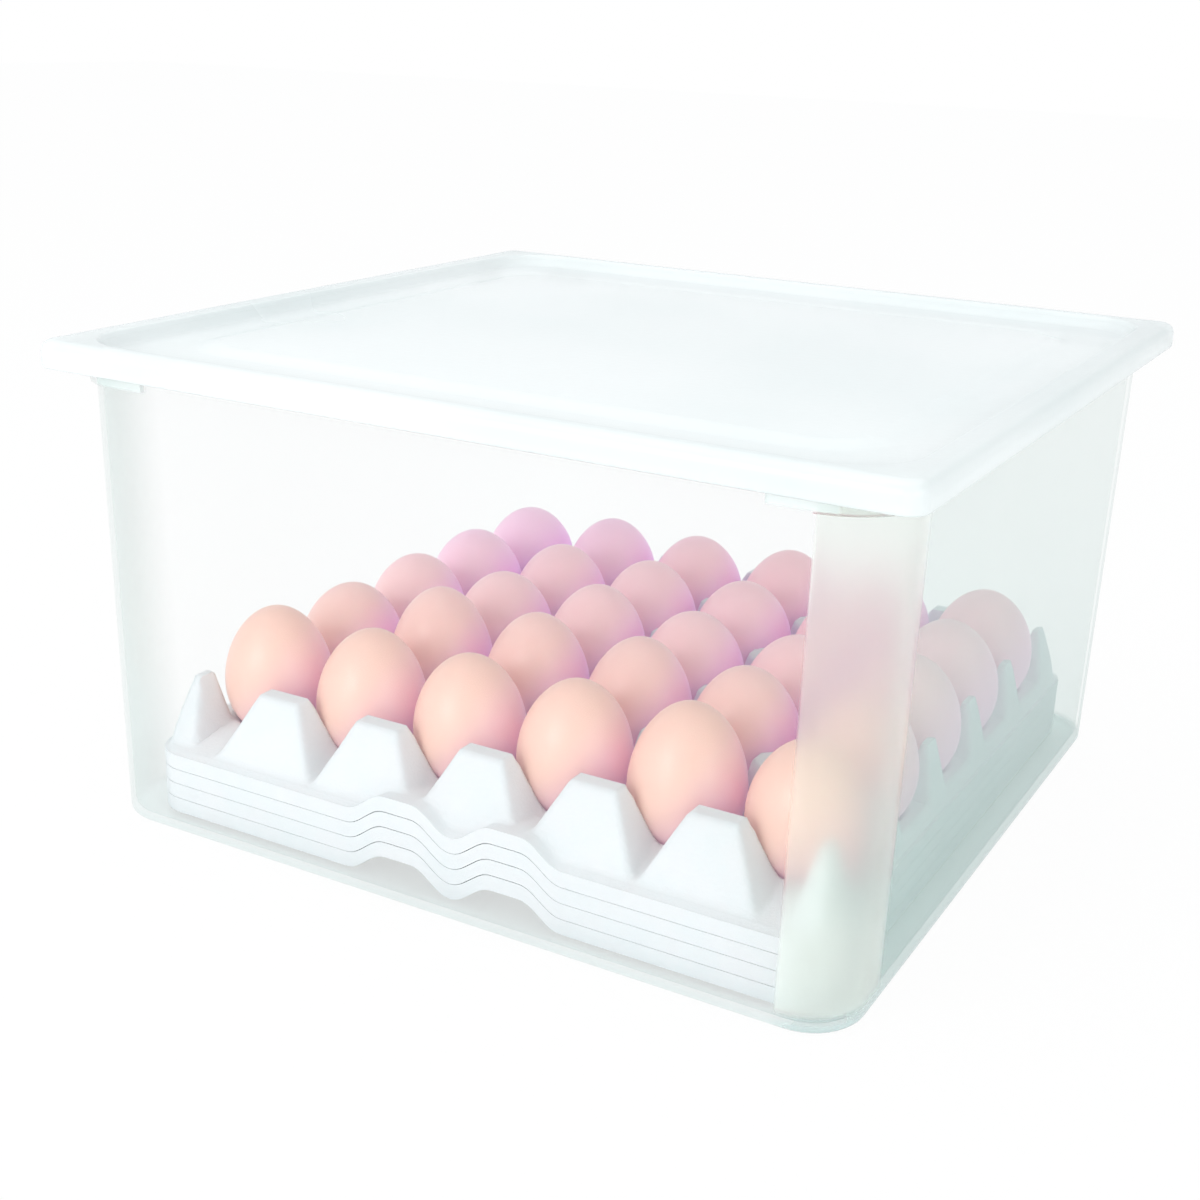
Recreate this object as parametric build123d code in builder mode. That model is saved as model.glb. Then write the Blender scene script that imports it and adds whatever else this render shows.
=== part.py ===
from build123d import *
import math
import os

# Storage tub, at its base: X runs along the front, Y into the depth, Z up from the surface it stands on
TUB_LENGTH = 320.6
TUB_DEPTH = 312.2
TUB_HEIGHT = 191.7
TUB_WALL = 2.0
TUB_FLOOR = 2.5
TUB_DRAFT = 1.05
TUB_BASE_CORNER = 21.0
TUB_TOP_CORNER = 27.0
TUB_BASE_EDGE = 3.0

# The tub's rim turns out into a flange with a lip that hangs down, and a collar stiffens each corner
FLANGE_THICKNESS = 2.0
FLANGE_LIP_DROP = 4.0
COLLAR_THICKNESS = 2.5
COLLAR_DROP = 11.0
COLLAR_SETBACK = 11.0

# Lid: its skirt goes over the flange and its sunk middle goes into the tub
LID_OVERHANG_X = 13.3
LID_OVERHANG_Y = 10.0
LID_CORNER = 8.0
LID_SHEET = 2.0
LID_SKIRT_DROP = 8.5
LID_EDGE_ROUND = 4.5
LID_TROUGH_DEPTH = 5.5
LID_TROUGH_SLOPE = 2.5
LID_TROUGH_WIDTH_X = 14.5
LID_TROUGH_WIDTH_Y = 26.0
LID_PANEL_CORNER = 16.0
LID_PANEL_SLOPE = 12.0
LID_PANEL_RISE = 1.8

# Egg trays: moulded pulp, six cells along X and five along Y
TRAY_COUNT = 4
CELLS_X = 6
CELLS_Y = 5
CELL_PITCH_X = 47.5
CELL_PITCH_Y = 49.5
TRAY_SHIFT_X = 2.0
TRAY_LENGTH = 293.0
TRAY_DEPTH = 296.0
TRAY_CORNER = 15.0
PULP = 1.6
STEEP_WALL = 1.1
NEST_PITCH = 6.3

# Heights in a tray, above the underside of its cups
LAND_HEIGHT = 12.2
POST_HEIGHT = 34.2
RIM_HEIGHT = 7.2
RIM_LIP = 5.0
RIM_LEDGE = 2.2

# Cups: cones that carry the eggs
CUP_FLOOR_RADIUS = 11.7
CUP_SLOPE = 56.0

# Posts between the cells: round ones inside, and flat-sided ones along the edges
POST_RADIUS = 8.3
POST_SLOPE = 74.0
EDGE_POST_TOP = 17.2
EDGE_POST_DEPTH = 8.0
EDGE_POST_SLOPE = 63.0
EDGE_POST_FRONT_SLOPE = 66.0
EDGE_POST_OFFSET = 27.2
END_POST_TOP = 8.5
END_POST_DEPTH = 3.2
CORNER_POST_SETBACK = 2.0
STEEP_SLOPE = 78.0

# Finger arches in the front and back rims, in front of the two middle columns
ARCH_HEIGHT = 16.0
ARCH_TOP_WIDTH = 18.0
ARCH_SLOPE = 37.0

# Eggs: the blunt end is down, and the lengths differ from row to row, front row first
EGG_WIDTH = 44.6
EGG_LENGTHS = [
    [57.0, 56.5, 56.0, 56.5, 58.0, 55.0],
    [53.0, 60.0, 58.5, 57.5, 55.5, 56.0],
    [53.0, 53.5, 56.5, 53.5, 53.0, 55.0],
    [52.5, 53.5, 54.0, 53.5, 55.0, 54.5],
    [52.0, 54.0, 53.5, 55.0, 54.5, 54.0],
]
EGG_BLUNT_END = 25.0
EGG_ROUNDNESS = 0.5523
EGG_END_FLAT = 0.5
EGG_LEAN = 2.0
EGG_LEAN_TURN = 137.5

# Clearances between pieces that rest on or in each other
LID_SEAT_GAP = 0.3
LID_SKIRT_GAP = 0.6
LID_PLUG_GAP = 0.6
TRAY_SEAT_GAP = 0.3
EGG_SEAT_GAP = 0.4

# Working values: heights and sizes that follow from the ones above
BELOW = 4.0
ABOVE = 4.0
LID_LENGTH = TUB_LENGTH + 2 * LID_OVERHANG_X
LID_DEPTH = TUB_DEPTH + 2 * LID_OVERHANG_Y
LID_UNDERSIDE = TUB_HEIGHT + LID_SEAT_GAP
LID_TOP = LID_UNDERSIDE + LID_SHEET
LID_SKIRT_FOOT = LID_UNDERSIDE - LID_SKIRT_DROP
LID_TROUGH = LID_TOP - LID_TROUGH_DEPTH


def run_of(height, slope):
    """Horizontal run of a face that climbs by a height at a slope in degrees from level."""
    return height / math.tan(math.radians(slope))


def wall_run(slope):
    """Horizontal thickness of a sheet of pulp that stands at a slope; the steepest walls are thinner."""
    return min(PULP / math.sin(math.radians(slope)), STEEP_WALL if slope >= POST_SLOPE else math.inf)


def tub_plan(height, inset=0.0):
    """Length, depth and corner radius of the tub's outside at a height, drawn in by an inset."""
    growth = height * math.tan(math.radians(TUB_DRAFT))
    corner = TUB_BASE_CORNER + (TUB_TOP_CORNER - TUB_BASE_CORNER) * height / TUB_HEIGHT
    return TUB_LENGTH + 2 * (growth - inset), TUB_DEPTH + 2 * (growth - inset), corner - inset


def grown(plan, amount):
    """A rounded rectangle's length, depth and corner radius, grown by an amount all round."""
    return plan[0] + 2 * amount, plan[1] + 2 * amount, plan[2] + amount


LID_PLAN = (LID_LENGTH, LID_DEPTH, LID_CORNER)
FLANGE_PLAN = grown(LID_PLAN, -LID_SHEET - LID_SKIRT_GAP)
PLUG_PLAN = grown(tub_plan(LID_TROUGH, TUB_WALL), -LID_PLUG_GAP)
TROUGH_PLAN = grown(PLUG_PLAN, -LID_SHEET)
PANEL_PLAN = (
    TROUGH_PLAN[0] - 2 * LID_TROUGH_WIDTH_X,
    TROUGH_PLAN[1] - 2 * LID_TROUGH_WIDTH_Y,
    LID_PANEL_CORNER + LID_PANEL_SLOPE,
)
END_FOOT_X = TRAY_LENGTH / 2 - RIM_LEDGE
END_FOOT_Y = TRAY_DEPTH / 2 - RIM_LEDGE
END_POST_X = END_FOOT_X - run_of(POST_HEIGHT - RIM_HEIGHT, STEEP_SLOPE) - END_POST_DEPTH / 2
EDGE_POST_Y = CELL_PITCH_Y * (CELLS_Y - 1) / 2 + EDGE_POST_OFFSET
LAND_Y = CELL_PITCH_Y * CELLS_Y / 2
ARCH_X = CELL_PITCH_X / 2
LIP_FOOT = RIM_HEIGHT - RIM_LIP


def tray_underside(level):
    """Height of a tray's underside above the surface the tub stands on, the lowest tray being level 0."""
    return TUB_FLOOR + TRAY_SEAT_GAP + level * NEST_PITCH


def egg_height():
    """Height of an egg's widest level above its tray's underside, where its cup stops it."""
    slope = math.radians(CUP_SLOPE)
    reach = math.hypot(EGG_WIDTH / 2 * math.sin(slope), EGG_BLUNT_END * math.cos(slope))
    flank = CUP_FLOOR_RADIUS * math.sin(slope) - PULP * math.cos(slope)
    on_flank = (reach - flank + EGG_SEAT_GAP) / math.cos(slope)
    return max(on_flank, PULP + EGG_SEAT_GAP + EGG_BLUNT_END)


# Tub
with BuildPart() as tub:
    with BuildSketch(Plane.XY):
        RectangleRounded(*tub_plan(0))
    with BuildSketch(Plane.XY.offset(TUB_HEIGHT)):
        RectangleRounded(*tub_plan(TUB_HEIGHT))
    loft()
    fillet(tub.edges().group_by(Axis.Z)[0], TUB_BASE_EDGE)
    with BuildSketch(Plane.XY.offset(TUB_HEIGHT - FLANGE_THICKNESS - FLANGE_LIP_DROP)):
        RectangleRounded(*FLANGE_PLAN)
        RectangleRounded(*grown(FLANGE_PLAN, -FLANGE_THICKNESS), mode=Mode.SUBTRACT)
    extrude(amount=FLANGE_LIP_DROP + FLANGE_THICKNESS / 2)
    with BuildSketch(Plane.XY.offset(TUB_HEIGHT - FLANGE_THICKNESS)):
        RectangleRounded(*FLANGE_PLAN)
    extrude(amount=FLANGE_THICKNESS)
    collar_plan = grown(tub_plan(TUB_HEIGHT), COLLAR_THICKNESS)
    corner_size = TUB_TOP_CORNER + COLLAR_THICKNESS - COLLAR_SETBACK
    with BuildSketch(Plane.XY.offset(TUB_HEIGHT - FLANGE_THICKNESS - COLLAR_DROP)):
        RectangleRounded(*collar_plan)
        with GridLocations(collar_plan[0] - corner_size, collar_plan[1] - corner_size, 2, 2):
            Rectangle(corner_size, corner_size, mode=Mode.INTERSECT)
    extrude(amount=COLLAR_DROP)
    with BuildSketch(Plane.XY.offset(TUB_FLOOR)):
        RectangleRounded(*tub_plan(TUB_FLOOR, TUB_WALL))
    with BuildSketch(Plane.XY.offset(TUB_HEIGHT + ABOVE)):
        RectangleRounded(*tub_plan(TUB_HEIGHT + ABOVE, TUB_WALL))
    loft(mode=Mode.SUBTRACT)
tub.part.label = "tub"

# Lid: a shallow sheet form with a raised rim, a trough inside it and a panel in the middle
with BuildPart() as lid:
    with BuildSketch(Plane.XY.offset(LID_SKIRT_FOOT)):
        RectangleRounded(*LID_PLAN)
    extrude(amount=LID_TOP - LID_SKIRT_FOOT)
    fillet(lid.edges().group_by(Axis.Z)[-1], LID_EDGE_ROUND)
    with BuildSketch(Plane.XY.offset(LID_TROUGH)):
        RectangleRounded(*TROUGH_PLAN)
    with BuildSketch(Plane.XY.offset(LID_TOP)):
        RectangleRounded(*grown(TROUGH_PLAN, LID_TROUGH_SLOPE))
    loft(mode=Mode.SUBTRACT)
    with BuildSketch(Plane.XY.offset(LID_TROUGH)):
        RectangleRounded(*PANEL_PLAN)
    with BuildSketch(Plane.XY.offset(LID_TROUGH + LID_PANEL_RISE)):
        RectangleRounded(*grown(PANEL_PLAN, -LID_PANEL_SLOPE))
    loft()
    with BuildSketch(Plane.XY.offset(LID_SKIRT_FOOT)):
        RectangleRounded(*grown(LID_PLAN, -LID_SHEET))
    extrude(amount=LID_TROUGH - LID_SHEET - LID_SKIRT_FOOT, mode=Mode.SUBTRACT)
    with BuildSketch(Plane.XY.offset(LID_TROUGH - LID_SHEET)):
        RectangleRounded(*grown(LID_PLAN, -LID_SHEET))
        RectangleRounded(*PLUG_PLAN, mode=Mode.SUBTRACT)
    extrude(amount=LID_UNDERSIDE - LID_TROUGH + LID_SHEET, mode=Mode.SUBTRACT)
    with BuildSketch(Plane.XY.offset(LID_TROUGH - LID_SHEET)):
        RectangleRounded(*PANEL_PLAN)
    with BuildSketch(Plane.XY.offset(LID_TROUGH - LID_SHEET + LID_PANEL_RISE)):
        RectangleRounded(*grown(PANEL_PLAN, -LID_PANEL_SLOPE))
    loft(mode=Mode.SUBTRACT)
lid.part.label = "lid"


def spots(count, pitch):
    """Evenly pitched places about zero, those below zero left out."""
    places = [(i - (count - 1) / 2) * pitch for i in range(count)]
    return [place for place in places if place >= 0]


def post_outline(middle, half, slopes, inner):
    """Corner points of a flat-sided post seen from one side, from the rim's height to its flat top."""
    drop = PULP if inner else 0.0
    tall = POST_HEIGHT - RIM_HEIGHT
    ins = [wall_run(slope) - run_of(PULP, slope) if inner else 0.0 for slope in slopes]
    low_top = middle - half + ins[0]
    high_top = middle + half - ins[1]
    return [
        (low_top - run_of(tall, slopes[0]), RIM_HEIGHT - drop),
        (low_top, POST_HEIGHT - drop),
        (high_top, POST_HEIGHT - drop),
        (high_top + run_of(tall, slopes[1]), RIM_HEIGHT - drop),
    ]


def crossed(front_points, side_points):
    """The solid that shows one outline from the front, in X and Z, and another from the side, in Y and Z."""
    with BuildPart() as form:
        with BuildSketch(Plane.XZ):
            with BuildLine():
                Polyline(*front_points, close=True)
            make_face()
        extrude(amount=TRAY_DEPTH, both=True)
        with BuildSketch(Plane.YZ):
            with BuildLine():
                Polyline(*side_points, close=True)
            make_face()
        extrude(amount=TRAY_LENGTH, both=True, mode=Mode.INTERSECT)
    return form.part


def flat_post(place, top, slopes, inner):
    """A flat-sided post: its solid, or the hollow inside it if inner.

    Place is the middle of its flat top, top the length and depth of that top, and slopes are those of
    its faces towards -X, +X, -Y and +Y.
    """
    front = post_outline(place[0], top[0] / 2, slopes[:2], inner)
    side = post_outline(place[1], top[1] / 2, slopes[2:], inner)
    return crossed(front, side)


def tray_form(inner):
    """A quarter of the solid under a tray's upper face, or, if inner, of the hollow under its lower face."""
    drop = PULP if inner else 0.0
    rim = RIM_HEIGHT - drop
    outline = grown((TRAY_LENGTH, TRAY_DEPTH, TRAY_CORNER), -drop)
    steep_in = wall_run(STEEP_SLOPE) - run_of(PULP, STEEP_SLOPE) if inner else 0.0
    arch_in = wall_run(ARCH_SLOPE) - run_of(PULP, ARCH_SLOPE) if inner else 0.0
    cup_out = wall_run(CUP_SLOPE) - run_of(PULP, CUP_SLOPE) if inner else 0.0
    post_in = wall_run(POST_SLOPE) - run_of(PULP, POST_SLOPE) if inner else 0.0
    foot = (2 * (END_FOOT_X - steep_in), 2 * (END_FOOT_Y - steep_in), TRAY_CORNER - RIM_LEDGE - steep_in)
    steep = (STEEP_SLOPE, STEEP_SLOPE)
    with BuildPart() as form:
        # the land between the cups, with a skirt that falls to the front and back rims
        skirt = [(0, rim), (0, LAND_HEIGHT - drop), (LAND_Y, LAND_HEIGHT - drop), (END_FOOT_Y, rim)]
        block = [(0, rim), (0, LAND_HEIGHT - drop), (TRAY_LENGTH, LAND_HEIGHT - drop), (TRAY_LENGTH, rim)]
        add(crossed(block, skirt))
        # flat-sided posts along the edges
        for x in spots(CELLS_X - 1, CELL_PITCH_X):
            slopes = (EDGE_POST_SLOPE, EDGE_POST_SLOPE, STEEP_SLOPE, EDGE_POST_FRONT_SLOPE)
            add(flat_post((x, EDGE_POST_Y), (EDGE_POST_TOP, EDGE_POST_DEPTH), slopes, inner))
        for y in spots(CELLS_Y - 1, CELL_PITCH_Y):
            add(flat_post((END_POST_X, y), (END_POST_DEPTH, END_POST_TOP), steep + steep, inner))
        corner = (END_POST_X, EDGE_POST_Y - CORNER_POST_SETBACK)
        slopes = steep + (STEEP_SLOPE, EDGE_POST_FRONT_SLOPE)
        add(flat_post(corner, (END_POST_DEPTH, EDGE_POST_DEPTH), slopes, inner))
        # all that stands above the rim keeps inside steep sides
        with BuildSketch(Plane.XY.offset(rim)):
            RectangleRounded(*foot)
        extrude(amount=POST_HEIGHT - RIM_HEIGHT + ABOVE, taper=90 - STEEP_SLOPE, mode=Mode.INTERSECT)
        # round posts inside
        for x in spots(CELLS_X - 1, CELL_PITCH_X):
            for y in spots(CELLS_Y - 1, CELL_PITCH_Y):
                top_radius = POST_RADIUS - post_in
                with Locations((x, y, LAND_HEIGHT - drop)):
                    Cone(
                        top_radius + run_of(POST_HEIGHT - LAND_HEIGHT, POST_SLOPE),
                        top_radius,
                        POST_HEIGHT - LAND_HEIGHT,
                        align=(Align.CENTER, Align.CENTER, Align.MIN),
                    )
        # finger arch, which climbs outwards from the land to the rim
        half_foot = ARCH_TOP_WIDTH / 2 + run_of(ARCH_HEIGHT - RIM_HEIGHT, ARCH_SLOPE) - arch_in
        half_top = ARCH_TOP_WIDTH / 2 - arch_in
        front = [
            (ARCH_X - half_foot, rim),
            (ARCH_X - half_top, ARCH_HEIGHT - drop),
            (ARCH_X + half_top, ARCH_HEIGHT - drop),
            (ARCH_X + half_foot, rim),
        ]
        side = [
            (LAND_Y, rim),
            (LAND_Y, LAND_HEIGHT - drop),
            (TRAY_DEPTH / 2, ARCH_HEIGHT - drop),
            (TRAY_DEPTH / 2, rim),
        ]
        add(crossed(front, side))
        # rim
        with BuildSketch(Plane.XY.offset(-BELOW)):
            RectangleRounded(*outline)
        extrude(amount=rim + BELOW)
        # the quarter, inside the tray's outline
        with BuildSketch(Plane.XY.offset(-BELOW)):
            RectangleRounded(*outline)
            Rectangle(TRAY_LENGTH, TRAY_DEPTH, align=(Align.MIN, Align.MIN), mode=Mode.INTERSECT)
        extrude(amount=POST_HEIGHT + BELOW + ABOVE, mode=Mode.INTERSECT)
        # cups
        for x in spots(CELLS_X, CELL_PITCH_X):
            for y in spots(CELLS_Y, CELL_PITCH_Y):
                with Locations((x, y, PULP - drop)):
                    Cone(
                        CUP_FLOOR_RADIUS + cup_out,
                        CUP_FLOOR_RADIUS + cup_out + run_of(LAND_HEIGHT - PULP, CUP_SLOPE),
                        LAND_HEIGHT - PULP,
                        align=(Align.CENTER, Align.CENTER, Align.MIN),
                        mode=Mode.SUBTRACT,
                    )
    return form.part


# One tray, from the underside of its cups up: a quarter of it, mirrored twice
with BuildPart() as tray:
    add(tray_form(False))
    add(tray_form(True), mode=Mode.SUBTRACT)
    # the rim ends in a lip all round, and opens under its finger arches
    with BuildSketch(Plane.XY.offset(-2 * BELOW)):
        Rectangle(2 * TRAY_LENGTH, 2 * TRAY_DEPTH)
        Rectangle(2 * (END_FOOT_X - BELOW), 2 * (LAND_Y - BELOW), mode=Mode.SUBTRACT)
    extrude(amount=LIP_FOOT + 2 * BELOW, mode=Mode.SUBTRACT)
    half_foot = ARCH_TOP_WIDTH / 2 + run_of(ARCH_HEIGHT - RIM_HEIGHT, ARCH_SLOPE)
    under = LIP_FOOT + ARCH_HEIGHT - RIM_HEIGHT
    opening = [
        (ARCH_X - half_foot, LIP_FOOT - BELOW),
        (ARCH_X - half_foot, LIP_FOOT),
        (ARCH_X - ARCH_TOP_WIDTH / 2, under),
        (ARCH_X + ARCH_TOP_WIDTH / 2, under),
        (ARCH_X + half_foot, LIP_FOOT),
        (ARCH_X + half_foot, LIP_FOOT - BELOW),
    ]
    past_rim = [(LAND_Y, -BELOW), (LAND_Y, ARCH_HEIGHT), (TRAY_DEPTH, ARCH_HEIGHT), (TRAY_DEPTH, -BELOW)]
    add(crossed(opening, past_rim), mode=Mode.SUBTRACT)
    mirror(about=Plane.YZ)
    mirror(about=Plane.XZ)

# Eggs
os.makedirs("parts", exist_ok=True)
for row in range(CELLS_Y):
    for column in range(CELLS_X):
        point = EGG_LENGTHS[row][column] - EGG_BLUNT_END
        with BuildPart() as egg:
            with BuildSketch(Plane.XZ):
                with BuildLine():
                    lower = Bezier(
                        (EGG_END_FLAT, -EGG_BLUNT_END),
                        (EGG_WIDTH / 2 * EGG_ROUNDNESS, -EGG_BLUNT_END),
                        (EGG_WIDTH / 2, -EGG_BLUNT_END * EGG_ROUNDNESS),
                        (EGG_WIDTH / 2, 0),
                    )
                    upper = Bezier(
                        (EGG_WIDTH / 2, 0),
                        (EGG_WIDTH / 2, point * EGG_ROUNDNESS),
                        (EGG_WIDTH / 2 * EGG_ROUNDNESS, point),
                        (EGG_END_FLAT, point),
                    )
                    Polyline(upper @ 1, (0, point), (0, -EGG_BLUNT_END), lower @ 0)
                make_face()
            revolve(axis=Axis.Z)
        turn = EGG_LEAN_TURN * (row * CELLS_X + column)
        x = (column - (CELLS_X - 1) / 2) * CELL_PITCH_X + TRAY_SHIFT_X
        y = (row - (CELLS_Y - 1) / 2) * CELL_PITCH_Y
        place = Location((x, y, tray_underside(TRAY_COUNT - 1) + egg_height()), (0, 0, turn))
        one = place * (Rotation(EGG_LEAN, 0, 0) * egg.part)
        one.label = f"egg_r{row + 1}_c{column + 1}"
        export_step(one, f"parts/{one.label}.step")

# Trays, nested in each other
for level in range(TRAY_COUNT):
    one = Pos(TRAY_SHIFT_X, 0, tray_underside(level)) * tray.part
    one.label = f"tray_{level + 1}"
    export_step(one, f"parts/{one.label}.step")

export_step(tub.part, "parts/tub.step")
export_step(lid.part, "parts/lid.step")
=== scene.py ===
"""Egg storage box: the looks of its tub, lid, pulp trays and eggs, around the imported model."""
import logging
import math
from collections.abc import Callable
from dataclasses import dataclass
from enum import Enum

import bpy
import numpy as np
from bpy.types import ID, Material, Node, NodeSocket, NodeTree, Object
from mathutils import Matrix, Vector


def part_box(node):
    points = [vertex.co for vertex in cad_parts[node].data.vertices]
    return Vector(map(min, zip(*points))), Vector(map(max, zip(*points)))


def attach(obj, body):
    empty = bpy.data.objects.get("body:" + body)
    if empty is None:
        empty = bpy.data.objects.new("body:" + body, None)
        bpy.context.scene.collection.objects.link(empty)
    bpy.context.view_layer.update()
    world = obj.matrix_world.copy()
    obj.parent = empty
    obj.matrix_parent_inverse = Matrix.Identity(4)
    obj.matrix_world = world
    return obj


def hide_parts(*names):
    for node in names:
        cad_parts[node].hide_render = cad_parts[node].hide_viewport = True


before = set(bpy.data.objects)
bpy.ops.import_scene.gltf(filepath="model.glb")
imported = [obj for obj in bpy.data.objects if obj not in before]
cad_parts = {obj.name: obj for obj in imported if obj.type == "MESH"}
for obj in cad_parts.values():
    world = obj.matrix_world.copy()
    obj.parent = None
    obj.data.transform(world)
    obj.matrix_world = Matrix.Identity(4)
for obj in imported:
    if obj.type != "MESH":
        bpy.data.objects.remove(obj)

LOG = logging.getLogger("egg_storage_box")
TOP_TRAY_STEP = 0.0014
WHITE = (1.0, 1.0, 1.0, 1.0)

Colour = tuple[float, float, float, float]
Pair = tuple[float, float]
Array = np.ndarray
Ring = Callable[[float, float], Array]


class Slot(Enum):
    """The record's material slots."""

    TUB = "tub_plastic"
    LID = "lid_plastic"
    PULP = "pulp"
    EGG = "eggshell"


def linear(red: int, green: int, blue: int) -> Colour:
    """Turns a screen colour into the linear one that shaders take.

    Args:
        red: Red, 0 to 255.
        green: Green, 0 to 255.
        blue: Blue, 0 to 255.

    Returns:
        Linear red, green, blue and an alpha of 1.
    """
    parts = [channel / 255 for channel in (red, green, blue)]
    low = [part / 12.92 if part <= 0.04045 else ((part + 0.055) / 1.055) ** 2.4 for part in parts]
    return (low[0], low[1], low[2], 1.0)


def rise_of(slope: float) -> float:
    """Rise per run of a face at a slope in degrees."""
    return math.tan(math.radians(slope))


def spaced(span: Pair, pitch: float) -> Pair:
    """A span counted in pitches, in metres."""
    return span[0] * pitch, span[1] * pitch


class Signal:
    """A node's output that takes part in sums as a number does."""

    def __init__(self, board: "Board", socket: NodeSocket) -> None:
        """Wraps a socket of a board's node."""
        self.board = board
        self.socket = socket

    def _math(self, operation: str, *values: "Signal | float") -> "Signal":
        """Adds one Math node on this signal and the other values."""
        inputs = dict(enumerate((self, *values)))
        return self.board.add("ShaderNodeMath", {"operation": operation}, inputs)

    def __add__(self, other: "Signal | float") -> "Signal":
        """This signal plus another value."""
        return self._math("ADD", other)

    __radd__ = __add__

    def __sub__(self, other: "Signal | float") -> "Signal":
        """This signal minus another value."""
        return self._math("SUBTRACT", other)

    def __rsub__(self, other: float) -> "Signal":
        """A number minus this signal."""
        return self.board.add("ShaderNodeMath", {"operation": "SUBTRACT"}, {0: other, 1: self})

    def __mul__(self, other: "Signal | float") -> "Signal":
        """This signal times another value."""
        return self._math("MULTIPLY", other)

    __rmul__ = __mul__

    def size(self) -> "Signal":
        """This signal without its sign."""
        return self._math("ABSOLUTE")

    def most(self, other: "Signal | float") -> "Signal":
        """The larger of this signal and another value."""
        return self._math("MAXIMUM", other)

    def least(self, other: "Signal | float") -> "Signal":
        """The smaller of this signal and another value."""
        return self._math("MINIMUM", other)

    def wrapped(self, half: float) -> "Signal":
        """This signal brought back between minus and plus a half pitch."""
        return self._math("WRAP", half, -half)

    def about(self, middle: float, spread: float) -> "Signal":
        """This noise, from 0 to 1, made a number about a middle that varies by a spread."""
        return self * spread + (middle - spread / 2)

    def ramp(self, low: float, high: float) -> "Signal":
        """Zero up to low, one from high, smooth between.

        Args:
            low: The value where the ramp starts.
            high: The value where it ends.

        Returns:
            The ramped signal.
        """
        inputs = {"Value": self, "From Min": low, "From Max": high}
        return self.board.add("ShaderNodeMapRange", {"interpolation_type": "SMOOTHSTEP"}, inputs)


class Board:
    """The node tree of a material, of the world or of a shape."""

    def __init__(self, tree: NodeTree) -> None:
        """Takes a tree and empties it."""
        self.tree = tree
        tree.nodes.clear()

    def node(self, kind: str, settings: dict, inputs: dict) -> Node:
        """Adds a node of any type.

        Args:
            kind: The node's type.
            settings: The node's own settings, set before its sockets.
            inputs: Values or signals by socket name or place.

        Returns:
            The new node.
        """
        node = self.tree.nodes.new(kind)
        for name, value in settings.items():
            setattr(node, name, value)
        for key, value in inputs.items():
            if isinstance(value, Signal):
                self.tree.links.new(value.socket, node.inputs[key])
            else:
                node.inputs[key].default_value = value
        return node

    def outputs(self, kind: str, inputs: dict) -> list[Signal]:
        """Adds a node and returns all its outputs as signals."""
        return [Signal(self, socket) for socket in self.node(kind, {}, inputs).outputs]

    def add(self, kind: str, settings: dict, inputs: dict, output: int | str = 0) -> Signal:
        """Adds a node and returns one of its outputs as a signal."""
        return Signal(self, self.node(kind, settings, inputs).outputs[output])

    def place(self) -> tuple[Signal, Signal, Signal, Signal]:
        """The place on the piece, as a vector and its X, Y and Z."""
        vector = self.add("ShaderNodeTexCoord", {}, {}, "Object")
        return vector, *self.outputs("ShaderNodeSeparateXYZ", {0: vector})

    def noise(self, vector: Signal, scale: float, detail: float) -> Signal:
        """Noise about 0.5 on a place."""
        return self.add("ShaderNodeTexNoise", {}, {"Vector": vector, "Scale": scale, "Detail": detail})

    def mix(self, share: Signal, first: Signal | Colour, second: Signal | Colour) -> Signal:
        """A colour between two, by a share."""
        return self.add("ShaderNodeMix", {"data_type": "RGBA"}, {0: share, 6: first, 7: second}, 2)

    def bump(self, height: Signal, strength: float, distance: float) -> Signal:
        """A normal from a height."""
        return self.add("ShaderNodeBump", {}, {"Height": height, "Strength": strength, "Distance": distance})

    def plastic(self, inputs: dict) -> Signal:
        """A Principled shader with some of its sockets set."""
        return self.add("ShaderNodeBsdfPrincipled", {}, inputs)

    def blend(self, share: Signal, first: Signal, second: Signal) -> Signal:
        """A shader between two, by a share."""
        return self.add("ShaderNodeMixShader", {}, {0: share, 1: first, 2: second})


class Dye:
    """One material and the board of its nodes."""

    def __init__(self, name: str) -> None:
        """Starts an empty material of a name."""
        self.material = bpy.data.materials.new(name)
        self.material.use_nodes = True
        self.board = Board(self.material.node_tree)

    def finished(self, shader: Signal) -> Material:
        """Joins a shader to the material's output and returns the material."""
        self.board.node("ShaderNodeOutputMaterial", {}, {"Surface": shader})
        return self.material


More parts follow.
